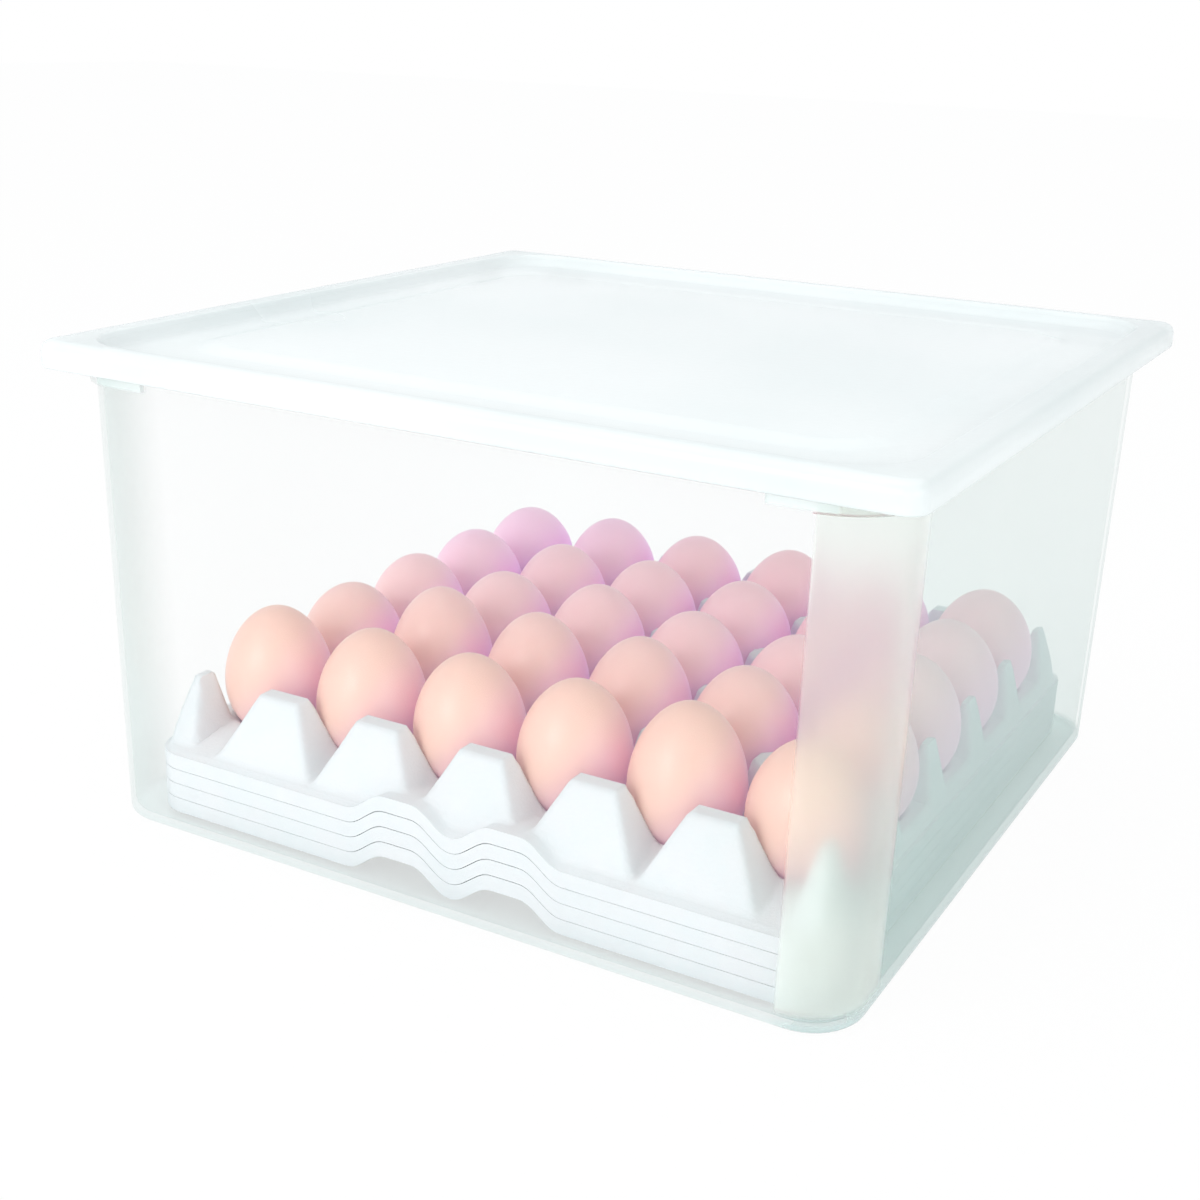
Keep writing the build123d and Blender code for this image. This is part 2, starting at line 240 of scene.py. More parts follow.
@dataclass(frozen=True)
class ClearPlastic:
    """The tub's moulded plastic: clear walls, a frosted corner and a pale green base, with painted shade on
    the right wall and on the near left corner, and a painted shadow on the floor by the right wall.

    Lengths are in metres, and alphas are shares of the light held back.
    """

    name: str = "clear_tub_plastic"
    wall_colour: Colour = linear(232, 244, 242)
    # the tint of the painted shade on the right wall and the near left corner
    wall_shade_colour: Colour = linear(192, 218, 212)
    base_colour: Colour = linear(194, 221, 219)
    frost_colour: Colour = linear(247, 254, 250)
    frost_milk: Colour = linear(250, 253, 248)
    wall_alpha: float = 0.035
    right_shade_alpha: float = 0.28
    left_shade_alpha: float = 0.2
    base_alpha: float = 0.2
    foot_shadow_alpha: float = 0.45
    flange_alpha: float = 0.55
    roughness: float = 0.2
    frost_roughness: float = 0.46
    frost_cover: float = 0.13
    frost_low_cover: float = 0.16
    frost_low_span: Pair = (0.025, 0.055)
    cover_spread: float = 0.1
    frost_along: float = 0.009
    frost_edge: Pair = (-0.0006, 0.0006)
    middle_span: Pair = (-0.01, 0.01)
    corner_share: float = 0.55
    base_from: float = 0.9
    base_to: float = 1.6
    rim_height: Pair = (0.1791, 0.1802)
    rim_out: Pair = (0.0004, 0.0012)
    side_span: Pair = (-0.0032, -0.0026)
    left_shade_reach: Pair = (0.01, 0.03)
    foot_shadow_in: Pair = (0.03, 0.014)
    right_shade_low: float = 1.35
    right_shade_fall: float = 0.7
    cloud_noise: Pair = (9.0, 2.0)
    cloud_spread: float = 0.3
    grain_noise: Pair = (240.0, 2.0)
    grain_bump: Pair = (0.06, 0.0003)
    index: float = 1.16

    def material(self, tub: "Tub") -> Material:
        """Builds the material for a tub.

        Args:
            tub: The tub, for its sizes.

        Returns:
            The material.
        """
        dye = Dye(self.name)
        board = dye.board
        vector, x, y, z = board.place()
        corner = tub.base_corner + (tub.top_corner - tub.base_corner) * self.corner_share
        growth = z * rise_of(tub.draft)
        past_x = x.size() - growth - (tub.half_x - corner)
        past_y = y.size() - growth - (tub.half_y - corner)
        front = 1 - y.ramp(*self.middle_span)
        right = x.ramp(*self.middle_span)
        low = 1 - z.ramp(tub.floor * self.base_from, tub.floor + tub.base_edge * self.base_to)
        rim = (past_x - corner).most(past_y - corner).ramp(*self.rim_out) * z.ramp(*self.rim_height)
        side = (x - growth - tub.half_x).ramp(*self.side_span)
        cloud = board.noise(vector, *self.cloud_noise)
        # painted shade: the right wall faces away from the key lamp and is made milkier and greener, most of
        # all low down; the near left corner gets a softer band of the same painted shade, and the floor by
        # the right wall gets a painted shadow
        milky = side * (self.right_shade_low - z * (self.right_shade_fall / tub.height))
        alpha = milky * (self.right_shade_alpha - self.wall_alpha) + self.wall_alpha
        alpha = alpha * cloud.about(1.0, self.cloud_spread)
        # painted shade: a soft, darker band on the near left corner
        reach_x, reach_y = self.left_shade_reach
        inset = corner + reach_x
        left = (past_x + reach_x).ramp(0.0, inset) * (past_y + reach_y).ramp(0.0, inset)
        left = left * (1 - right) * front
        # painted shadow: the floor by the right wall is made more opaque where the shadow shows through the
        # wall
        foot = x.ramp(tub.half_x - self.foot_shadow_in[0], tub.half_x - self.foot_shadow_in[1])
        base = foot * (self.foot_shadow_alpha - self.base_alpha) + self.base_alpha
        alpha = alpha.most(left * self.left_shade_alpha).most(low * base).most(rim * self.flange_alpha)
        colour = board.mix(side.most(left), self.wall_colour, self.wall_shade_colour)
        look = {
            "Base Color": board.mix(low, colour, self.base_colour),
            "Roughness": self.roughness,
            "Alpha": alpha,
            "Normal": board.bump(board.noise(vector, *self.grain_noise), *self.grain_bump),
        }
        # the frost lies on the front right corner, above the base's rounded edge and below the flange
        frost = past_x.ramp(*self.frost_edge) * (past_y + self.frost_along).ramp(*self.frost_edge)
        frost = frost * z.ramp(tub.floor + tub.base_edge, tub.floor + tub.base_edge * 2)
        frost = frost * front * right * (1 - rim)
        return dye.finished(board.blend(frost, board.plastic(look), self.frosted(board, cloud, z)))

    def frosted(self, board: Board, cloud: Signal, z: Signal) -> Signal:
        """The frosted plastic's shader: blurred glass under a thin milk that is thicker low down.

        Args:
            board: The material's board.
            cloud: Slow noise on the piece.
            z: Height.

        Returns:
            The shader.
        """
        glass = {"Base Color": self.frost_colour, "Roughness": self.frost_roughness}
        blurred = board.plastic({**glass, "Transmission Weight": 1.0, "IOR": self.index})
        milk = board.plastic({**glass, "Base Color": self.frost_milk})
        thick = (1 - z.ramp(*self.frost_low_span)) * self.frost_low_cover
        return board.blend(thick + cloud.about(self.frost_cover, self.cover_spread), blurred, milk)


@dataclass(frozen=True)
class MilkyPlastic:
    """The lid's milky plastic."""

    name: str = "milky_lid_plastic"
    colour: Colour = linear(246, 251, 251)
    deep_colour: Colour = linear(239, 246, 246)
    deep_span: Pair = (0.35, 0.65)
    alpha: float = 0.74
    alpha_spread: float = 0.08
    roughness: float = 0.26
    roughness_spread: float = 0.12
    cloud_noise: Pair = (6.0, 3.0)
    grain_noise: Pair = (320.0, 2.0)
    grain_bump: Pair = (0.12, 0.0003)

    def material(self) -> Material:
        """Builds the material.

        Returns:
            The material.
        """
        dye = Dye(self.name)
        board = dye.board
        vector = board.place()[0]
        cloud = board.noise(vector, *self.cloud_noise)
        look = {
            "Base Color": board.mix(cloud.ramp(*self.deep_span), self.colour, self.deep_colour),
            "Roughness": cloud.about(self.roughness, self.roughness_spread),
            "Alpha": cloud.about(self.alpha, self.alpha_spread),
            "Normal": board.bump(board.noise(vector, *self.grain_noise), *self.grain_bump),
        }
        return dye.finished(board.plastic(look))


@dataclass(frozen=True)
class MouldedPulp:
    """White moulded pulp with a fibrous face."""

    name: str = "moulded_pulp"
    colour: Colour = linear(232, 234, 236)
    fibre_colour: Colour = linear(229, 234, 236)
    fibre_span: Pair = (0.4, 0.62)
    roughness: float = 0.92
    cloud_noise: Pair = (70.0, 4.0)
    fibre_noise: Pair = (900.0, 3.0)
    tint_share: float = 0.5
    lump_share: float = 0.7
    lump_bump: Pair = (0.35, 0.0012)

    def material(self) -> Material:
        """Builds the material.

        Returns:
            The material.
        """
        dye = Dye(self.name)
        board = dye.board
        vector = board.place()[0]
        cloud = board.noise(vector, *self.cloud_noise)
        fibre = board.noise(vector, *self.fibre_noise)
        tint = cloud * self.tint_share + fibre * (1 - self.tint_share)
        lumps = cloud * self.lump_share + fibre * (1 - self.lump_share)
        look = {
            "Base Color": board.mix(tint.ramp(*self.fibre_span), self.colour, self.fibre_colour),
            "Roughness": self.roughness,
            "Normal": board.bump(lumps, *self.lump_bump),
        }
        return dye.finished(board.plastic(look))


@dataclass(frozen=True)
class Eggshell:
    """Peach eggshell with fine pores. It is pinker and lighter towards the back rows, and part of that lift
    is painted light. Each egg has painted mauve shade low down on its right.

    Rows and columns are counted in pitches from the tray's middle. The glows are painted light: an emission
    that lifts the eggs' shaded sides most.
    """

    name: str = "peach_eggshell"
    colour: Colour = linear(250, 207, 189)
    back_tint_and_light: Colour = linear(255, 213, 216)
    corner_tint_and_light: Colour = linear(255, 212, 234)
    shade_colour: Colour = linear(236, 168, 248)
    painted_glow_lit_side: Colour = (0.035, 0.02, 0.03, 1.0)
    painted_glow_shade_side: Colour = (0.12, 0.065, 0.12, 1.0)
    front_shade: float = 0.36
    back_shade: float = 0.8
    outer_shade: float = 0.25
    shade_across: float = 0.62
    shade_along: float = 0.30
    shade_down: float = 0.62
    shade_lift: float = 0.006
    shade_spread: float = 0.25
    shade_span: Pair = (-0.35, 0.95)
    pink_rows: Pair = (-2.4, 0.6)
    behind_rows: Pair = (-1.6, -1.4)
    far_rows: Pair = (1.9, 3.6)
    far_slant: float = 0.9
    outer_columns: Pair = (2.4, 2.75)
    roughness: float = 0.36
    roughness_spread: float = 0.1
    cloud_noise: Pair = (60.0, 3.0)
    pore_noise: Pair = (1500.0, 2.0)
    pore_bump: Pair = (0.15, 0.0002)
    under_skin: float = 0.15
    under_skin_depth: float = 0.006
    under_skin_reach: tuple[float, float, float] = (1.0, 0.55, 0.7)

    def material(self, eggs: "Eggs", middle: tuple[float, float, float]) -> Material:
        """Builds the material for the eggs of a tray.

        Args:
            eggs: The eggs, for their sizes and pitches.
            middle: The middle of the tray's eggs, and the height of their widest level.

        Returns:
            The material.
        """
        dye = Dye(self.name)
        board = dye.board
        vector, x, y, z = board.place()
        cloud = board.noise(vector, *self.cloud_noise)
        from_middle_x, from_middle_y = x - middle[0], y - middle[1]
        across = (from_middle_x + eggs.pitch_x / 2).wrapped(eggs.pitch_x / 2)
        along = from_middle_y.wrapped(eggs.pitch_y / 2)
        reach = eggs.width / 2
        # painted shade: mauve goes on the side of each egg that turns right, back and down, away from the key
        # lamp; it is weaker in the front row and on the outer side of the right column
        lean = across * (self.shade_across / reach) + along * (self.shade_along / reach)
        lean = lean - (z - middle[2] - self.shade_lift) * (self.shade_down / reach)
        shade = (lean + (cloud - 0.5) * self.shade_spread).ramp(*self.shade_span)
        # pinker towards the back rows and the far left corner, and also lighter there as painted light that
        # makes up for the light the lid holds back
        pink = from_middle_y.ramp(*spaced(self.pink_rows, eggs.pitch_y))
        far = (from_middle_y - from_middle_x * self.far_slant).ramp(*spaced(self.far_rows, eggs.pitch_y))
        colour = board.mix(pink, self.colour, self.back_tint_and_light)
        colour = board.mix(far, colour, self.corner_tint_and_light)
        behind = from_middle_y.ramp(*spaced(self.behind_rows, eggs.pitch_y))
        strength = behind * (self.back_shade - self.front_shade) + self.front_shade
        outer = from_middle_x.ramp(*spaced(self.outer_columns, eggs.pitch_x))
        strength = strength * (1 - outer * (1 - self.outer_shade))
        look = {
            "Base Color": board.mix(shade * strength, colour, self.shade_colour),
            "Roughness": cloud.about(self.roughness, self.roughness_spread),
            "Subsurface Weight": self.under_skin,
            "Subsurface Radius": self.under_skin_reach,
            "Subsurface Scale": self.under_skin_depth,
            # painted light: a glow that is strongest where the painted shade lies and stands in for light
            # that the eggs lack
            "Emission Color": board.mix(shade, self.painted_glow_lit_side, self.painted_glow_shade_side),
            "Emission Strength": 1.0,
            "Normal": board.bump(board.noise(vector, *self.pore_noise), *self.pore_bump),
        }
        return dye.finished(board.plastic(look))


@dataclass(frozen=True)
class PaleFloor:
    """The plain floor, white to the camera and with the object's soft shadow."""

    name: str = "pale_floor"
    colour: Colour = linear(246, 247, 247)
    glow: float = 0.95

    def material(self) -> Material:
        """Builds the material.

        Returns:
            The material.
        """
        dye = Dye(self.name)
        board = dye.board
        matte = board.add("ShaderNodeBsdfDiffuse", {}, {"Color": self.colour})
        white = board.add("ShaderNodeEmission", {}, {"Color": WHITE, "Strength": 1.0})
        rays = board.node("ShaderNodeLightPath", {}, {}).outputs
        seen = Signal(board, rays["Is Camera Ray"])
        for kind in ("Is Glossy Ray", "Is Transmission Ray"):
            seen = seen.most(Signal(board, rays[kind]))
        return dye.finished(board.blend(seen * self.glow, matte, white))


@dataclass(frozen=True)
class Plan:
    """A rounded rectangle seen from above, about the box's middle, in metres."""

    half_x: float
    half_y: float
    corner: float
    tightest: float = 0.0
    steps: int = 10

    def ring(self, out: float, z: float) -> Array:
        """Points round the rectangle, counter-clockwise seen from above.

        Args:
            out: How far it is grown outwards.
            z: Its height.

        Returns:
            An array of points, the same number for any plan.
        """
        radius = max(self.corner + out, self.tightest)
        points = []
        for quarter, (side_x, side_y) in enumerate(((1, 1), (-1, 1), (-1, -1), (1, -1))):
            for step in range(self.steps + 1):
                turn = math.radians(90 * (quarter + step / self.steps))
                x = side_x * (self.half_x + out - radius) + radius * math.cos(turn)
                y = side_y * (self.half_y + out - radius) + radius * math.sin(turn)
                points.append((x, y, z))
        return np.array(points)


def arc(middle: Pair, radius: float, start: float, end: float, steps: int) -> list[Pair]:
    """Points on an arc between two angles in a wall's section, as distance outwards and height."""
    turns = [math.radians(start + (end - start) * step / steps) for step in range(steps + 1)]
    return [(middle[0] + radius * math.cos(turn), middle[1] + radius * math.sin(turn)) for turn in turns]


def rings_at(ring: Ring, section: list[Pair] | tuple[Pair, ...]) -> list[Array]:
    """One ring for each point of a section, given as distance outwards and height."""
    return [ring(out, up) for out, up in section]


def mesh_object(name: str, points: Array, faces: list, smooth_to: float = 38.0) -> Object:
    """Makes a mesh object at the origin, smooth up to an angle between faces.

    Args:
        name: The object's name.
        points: Its vertices.
        faces: Its faces, as lists of vertex numbers.
        smooth_to: The largest angle in degrees that still shades smoothly.

    Returns:
        The linked object.
    """
    mesh = bpy.data.meshes.new(name)
    mesh.from_pydata([tuple(point) for point in points], [], faces)
    mesh.validate()
    mesh.shade_smooth()
    mesh.set_sharp_from_angle(angle=math.radians(smooth_to))
    return linked(name, mesh)


def linked(name: str, data: ID) -> Object:
    """Makes an object of some data and links it to the scene.

    Args:
        name: The object's name.
        data: Its data.

    Returns:
        The object.
    """
    made = bpy.data.objects.new(name, data)
    bpy.context.scene.collection.objects.link(made)
    return made


def lofted(name: str, rings: list[Array]) -> Object:
    """Skins rings into a closed piece, with a face over the first and the last ring.

    Args:
        name: The object's name.
        rings: The rings, each with the same number of points.

    Returns:
        The linked object.
    """
    count = len(rings[0])
    faces = [list(range(count))[::-1]]
    for level in range(len(rings) - 1):
        low, high = level * count, (level + 1) * count
        for place in range(count):
            following = (place + 1) % count
            faces.append([low + place, low + following, high + following, high + place])
    last = (len(rings) - 1) * count
    faces.append([last + place for place in range(count)])
    return mesh_object(name, np.concatenate(rings), faces)


def join(name: str, pieces: list[Object]) -> Object:
    """Joins pieces into one mesh object at the origin.

    Args:
        name: The joined object's name.
        pieces: The objects, which are removed.

    Returns:
        The joined object.
    """
    points = []
    faces = []
    for piece in pieces:
        start = len(points)
        points += [tuple(vertex.co) for vertex in piece.data.vertices]
        faces += [[start + number for number in polygon.vertices] for polygon in piece.data.polygons]
        bpy.data.objects.remove(piece)
    return mesh_object(name, np.array(points), faces)


@dataclass
class Tub:
    """The tub: one moulded wall and floor, a flange with a hanging lip, and a collar at each corner.

    Sizes are in metres, the draft in degrees.
    """

    finish: ClearPlastic = ClearPlastic()
    half_x: float = 0.1603
    half_y: float = 0.1561
    height: float = 0.1917
    wall: float = 0.002
    wall_levels: tuple[float, ...] = (0.03, 0.07, 0.11, 0.15, 0.18)
    floor: float = 0.0025
    floor_in: float = 0.035
    floor_edge: float = 0.003
    draft: float = 1.05
    base_corner: float = 0.021
    top_corner: float = 0.027
    tightest_corner: float = 0.002
    base_edge: float = 0.003
    base_in: float = 0.033
    flange: Plan = Plan(0.171, 0.1635, 0.0054)
    flange_thickness: float = 0.002
    flange_low: float = 0.1857
    flange_bend: float = 0.0015
    flange_edge: float = 0.0012
    mouth_edge: float = 0.001
    collar_drop: float = 0.011
    collar_in: float = 0.0004
    collar_out: float = 0.0025
    collar_edge: float = 0.001
    collar_gap: float = 0.0002
    collar_along: float = 0.013
    collar_steps: int = 10

    def plan(self, z: float) -> Plan:
        """The wall's outside at a height.

        Args:
            z: The height.

        Returns:
            Its plan.
        """
        growth = z * rise_of(self.draft)
        corner = self.base_corner + (self.top_corner - self.base_corner) * z / self.height
        return Plan(self.half_x + growth, self.half_y + growth, corner, self.tightest_corner)

    def ring(self, out: float, z: float) -> Array:
        """One ring of the wall, grown outwards by a distance."""
        return self.plan(z).ring(out, z)

    def build(self) -> Object:
        """Builds the tub's shell with its collars, dressed, riding and standing for its node.

        Returns:
            The tub's object.
        """
        under = self.height - self.flange_thickness
        edge, bend, tip = self.base_edge, self.flange_bend, self.flange_edge
        section = [(-self.base_in, 0.0), (-edge, 0.0), *arc((-edge, edge), edge, -75, 0, 4)]
        section += [(0.0, height) for height in self.wall_levels]
        section += arc((bend, under - bend), bend, 180, 90, 3)
        rings = rings_at(self.ring, section)
        lip = -self.flange_thickness
        section = [(lip, under), (lip, self.flange_low), (0.0, self.flange_low)]
        section += arc((-tip, self.height - tip), tip, 0, 90, 3)
        rings += rings_at(self.flange.ring, section)
        mouth, inner = self.mouth_edge, self.floor_edge
        section = arc((mouth - self.wall, self.height - mouth), mouth, 90, 180, 3)
        section += [(-self.wall, height) for height in reversed(self.wall_levels)]
        section += arc((-self.wall - inner, self.floor + inner), inner, 0, -90, 4)
        section.append((-self.floor_in, self.floor))
        rings += rings_at(self.ring, section)
        tub = join("tub_moulding", [lofted("tub_shell", rings), *self.collars(under)])
        tub.data.materials.append(self.finish.material(self))
        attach(tub, "tub")
        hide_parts("tub")
        return tub

    def collars(self, top: float) -> list[Object]:
        """Builds the thicker bands round the four corners, under the flange.

        Args:
            top: The height of the flange's underside.

        Returns:
            The four bands.
        """
        low, edge = top - self.collar_drop, self.collar_edge
        plan = self.plan(top)
        foot_x, foot_y = plan.half_x - plan.corner, plan.half_y - plan.corner
        section = [(-self.collar_in, low), *arc((self.collar_out - edge, low + edge), edge, -90, 0, 3)]
        section += [(self.collar_out, top - self.collar_gap), (-self.collar_in, top - self.collar_gap)]
        path = [((plan.half_x, foot_y - self.collar_along), (1.0, 0.0))]
        for step in range(self.collar_steps + 1):
            turn = math.radians(90 / self.collar_steps * step)
            way = (math.cos(turn), math.sin(turn))
            path.append(((foot_x + plan.corner * way[0], foot_y + plan.corner * way[1]), way))
        path.append(((foot_x - self.collar_along, plan.half_y), (0.0, 1.0)))
        stops = [
            np.array([(place[0] + way[0] * out, place[1] + way[1] * out, up) for out, up in section])
            for place, way in path
        ]
        made = []
        for side_x, side_y in ((1, 1), (1, -1), (-1, 1), (-1, -1)):
            # a mirrored band runs the other way round, so that its faces still look outwards
            rings = [stop * (side_x, side_y, 1) for stop in stops[:: side_x * side_y]]
            made.append(lofted(f"tub_collar_{side_x}_{side_y}", rings))
        return made


@dataclass
class Lid:
    """The lid: a milky sheet with a rounded rim, a trough inside it and a low panel. Sizes are in metres."""

    finish: MilkyPlastic = MilkyPlastic()
    rim: Plan = Plan(0.1736, 0.1661, 0.008, 0.002)
    rim_edge: float = 0.0045
    foot: float = 0.1835
    foot_edge: float = 0.001
    foot_rise: float = 0.0004
    top: float = 0.194
    sheet: float = 0.002
    inner_edge: float = 0.0035
    trough: Plan = Plan(0.1592, 0.1550, 0.0223, 0.004)
    trough_depth: float = 0.0055
    trough_slope: float = 0.0025
    trough_brow: float = 0.0016
    trough_foot: tuple[Pair, ...] = ((0.0007, 0.0013), (0.0, 0.0005), (-0.001, 0.0))
    plug_out: float = 0.002
    plug_edge: tuple[Pair, ...] = ((-0.0015, 0.0), (-0.0004, 0.0004), (0.0, 0.0015))
    panel: Plan = Plan(0.1447, 0.1290, 0.028, 0.004)
    panel_slope: float = 0.012
    panel_rise: float = 0.0018
    panel_in: float = 0.032
    panel_section: tuple[Pair, ...] = (
        (0.0, 0.0), (0.12, 0.03), (0.3, 0.2), (0.5, 0.5), (0.7, 0.8), (0.88, 0.97), (1.0, 1.0)
    )

    def build(self) -> Object:
        """Builds the lid's sheet, dressed, riding and standing for its node.

        Returns:
            The lid's object.
        """
        trough = self.top - self.trough_depth
        under = trough - self.sheet
        slope = [(-self.panel_slope * share, self.panel_rise * rise) for share, rise in self.panel_section]
        section = [(-self.panel_in, under + self.panel_rise)]
        section += [(out, under + up) for out, up in reversed(slope)]
        rings = rings_at(self.panel.ring, section)
        section = [(self.plug_out + out, under + up) for out, up in self.plug_edge]
        section.append((self.plug_out, self.top - self.sheet))
        rings += rings_at(self.trough.ring, section)
        inner, low, outer = self.inner_edge, self.foot_edge, self.rim_edge
        bend = -self.sheet - inner
        section = [(bend, self.top - self.sheet)]
        section += arc((bend, self.top - self.sheet - inner), inner, 90, 0, 4)
        section.append((-self.sheet, self.foot + self.foot_rise))
        section += arc((-low, self.foot + low), low, -150, 0, 4)
        section += arc((-outer, self.top - outer), outer, 0, 90, 6)
        rings += rings_at(self.rim.ring, section)
        brow = self.trough_brow
        section = arc((self.trough_slope + brow, self.top - brow), brow, 90, 165, 4)
        section += [(out, trough + up) for out, up in self.trough_foot]
        rings += rings_at(self.trough.ring, section)
        section = [(out, trough + up) for out, up in slope]
        section.append((-self.panel_in, trough + self.panel_rise))
        rings += rings_at(self.panel.ring, section)
        lid = lofted("lid_moulding", rings)
        lid.data.materials.append(self.finish.material())
        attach(lid, "lid")
        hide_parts("lid")
        return lid


@dataclass
class Tray:
    """One moulded pulp tray: cups between posts, a skirt, and a rim with finger arches.

    Sizes are in metres, slopes in degrees. The step is the spacing of its mesh.
    """

    node: str
    step: float = 0.0024
    half_x: float = 0.1465
    half_y: float = 0.148
    corner: float = 0.015
    columns: int = 6
    rows: int = 5
    pitch_x: float = 0.0475
    pitch_y: float = 0.0495
    sheet: float = 0.0014
    land: float = 0.0122
    land_half_y: float = 0.1195
    post: float = 0.0342
    rim: float = 0.0072
    rim_keep: float = 0.004
    ledge: float = 0.0022
    lip: float = 0.006
    lip_share: float = 0.9
    cup_floor: float = 0.0016
    cup_radius: float = 0.0117
    cup_slope: float = 56.0
    room_slope: float = 73.0
    post_radius: float = 0.0083
    post_slope: float = 74.0
    edge_post_y: float = 0.1262
    edge_post_shift: float = 0.0015
    edge_post_half_x: float = 0.0094
    edge_post_half_y: float = 0.004
    edge_side_slope: float = 63.0
    edge_front_slope: float = 66.0
    end_post_x: float = 0.137
    end_post_half_x: float = 0.0016
    end_post_half_y: float = 0.0043
    corner_setback: float = 0.002
    steep_slope: float = 78.0
    arch_foot_y: float = 0.1238
    arch_x: float = 0.02375
    arch_half_top: float = 0.009
    arch_slope: float = 37.0
    arch_rise: float = 0.0088
    blend: float = 0.0024
    land_blend: float = 0.00336
    floor_blend: float = 0.004
    post_blend: float = 0.0009
    post_edge_blend: float = 0.002
    steepest: float = 5.0
    no_span: float = 1e-6
    smooth_to: float = 60.0

    @staticmethod
    def blended_min(first: Array, second: Array, width: float) -> Array:
        """The lower of two heights, rounded where they cross."""
        gap = np.maximum(width - np.abs(first - second), 0.0)
        return np.minimum(first, second) - gap * gap / (4 * width)

    @staticmethod
    def blended_max(first: Array, second: Array, width: float) -> Array:
        """The higher of two heights, rounded where they cross."""
        gap = np.maximum(width - np.abs(first - second), 0.0)
        return np.maximum(first, second) + gap * gap / (4 * width)

    @staticmethod
    def nearest(place: Array, pitch: float, count: int) -> Array:
        """The middles of the cells nearest to places along one side, from the tray's middle."""
        first = (1 - count) / 2
        return (np.clip(np.round(place / pitch - first), 0, count - 1) + first) * pitch

    @staticmethod
    def border(shape: tuple[int, int], lines: int) -> Array:
        """Marks a number of the mesh's outermost lines."""
        inside = np.zeros((shape[0] - 2 * lines, shape[1] - 2 * lines), bool)
        return np.pad(inside, lines, constant_values=True)

    def cup(self, reach: Array, mouth: float) -> Array:
        """Height of a cup: its floor, its cone, and past its mouth the room round the egg.

        Args:
            reach: Distances from the cup's middle.
            mouth: The radius of the cup's mouth.

        Returns:
            The heights.
        """
        cone = self.cup_floor + (reach - self.cup_radius) * rise_of(self.cup_slope)
        room = self.land + (reach - mouth) * rise_of(self.room_slope)
        made = np.where(reach > mouth, room, cone)
        return self.blended_max(made, np.full_like(made, self.cup_floor), self.floor_blend)

    def height(self, x: Array, y: Array) -> Array:
        """Height of the tray's upper face above the underside of its cups.

        Args:
            x: Places along the tray, from its middle.
            y: Places into its depth, from its middle.

        Returns:
            The heights.
        """
        near_x = self.nearest(x, self.pitch_x, self.columns)
        near_y = self.nearest(y, self.pitch_y, self.rows)
        reach = np.hypot(x - near_x, y - near_y)
        mouth = self.cup_radius + (self.land - self.cup_floor) / rise_of(self.cup_slope)
        cup = self.cup(reach, mouth)
        posts = self.blended_min(self.posts(x, y), np.full_like(x, self.post), self.post_blend)
        fall = (self.land - self.rim) / (self.half_y - self.ledge - self.land_half_y)
        land = self.land - np.maximum(np.abs(y) - self.land_half_y, 0.0) * fall
        made = self.blended_max(posts, land, self.land_blend)
        made = self.blended_min(made, cup, self.blend)
        # the skirt falls steeply to the rim, at one distance inside the tray's outline
        out_x = np.maximum(np.abs(x) - (self.half_x - self.corner), 0.0)
        out_y = np.maximum(np.abs(y) - (self.half_y - self.corner), 0.0)
        inside = self.corner - self.ledge - np.hypot(out_x, out_y)
        made = self.blended_min(made, self.rim + inside * rise_of(self.steep_slope), self.blend)
        made = self.blended_max(made, np.full_like(made, self.rim), self.blend)
        lowest = np.minimum(made, np.maximum(cup, self.cup_floor))
        made = np.where((reach < mouth) & (inside > self.rim_keep), lowest, made)
        # two finger arches rise from the rim of each long side
        past = np.abs(np.abs(x) - self.arch_x) - self.arch_half_top
        share = np.clip((np.abs(y) - self.arch_foot_y) / (self.half_y - self.arch_foot_y), 0.0, 1.0)
        crest = self.land + (self.rim + self.arch_rise - self.land) * share
        arch = self.blended_min(crest - past * rise_of(self.arch_slope), crest, self.blend)
        return self.blended_max(made, np.where(share > 0.0, arch, -1.0), self.blend)

    def posts(self, x: Array, y: Array) -> Array:
        """Height of the posts: round ones inside, flat-sided ones along the edges and at the corners.

        Args:
            x: Places along the tray, from its middle.
            y: Places into its depth, from its middle.

        Returns:
            The heights, far below zero away from the posts.
        """
        made = np.full_like(x, -1.0)
        steep = rise_of(self.steep_slope)
        for column in range(self.columns + 1):
            at_end = column in (0, self.columns)
            post_x = (column - self.columns / 2) * self.pitch_x
            if at_end:
                post_x = math.copysign(self.end_post_x, post_x)
            edge_x = post_x + self.edge_post_shift * (not at_end)
            for row in range(self.rows + 1):
                at_edge = row in (0, self.rows)
                post_y = (row - self.rows / 2) * self.pitch_y
                if at_edge:
                    post_y = math.copysign(self.edge_post_y - at_end * self.corner_setback, post_y)
                if at_end or at_edge:
                    half_x = self.end_post_half_x if at_end else self.edge_post_half_x
                    half_y = self.edge_post_half_y if at_edge else self.end_post_half_y
                    side = steep if at_end else rise_of(self.edge_side_slope)
                    outwards = (y - post_y) * math.copysign(1.0, post_y) > 0
                    face = np.where(outwards & at_edge, rise_of(self.edge_front_slope), steep)
                    out_x = (np.abs(x - edge_x) - half_x) * side
                    out_y = (np.abs(y - post_y) - half_y) * face
                    fall = self.blended_max(out_x, out_y, self.post_edge_blend)
                else:
                    fall = (np.hypot(x - post_x, y - post_y) - self.post_radius) * rise_of(self.post_slope)
                made = np.maximum(made, self.post - np.maximum(fall, 0.0))
        return made

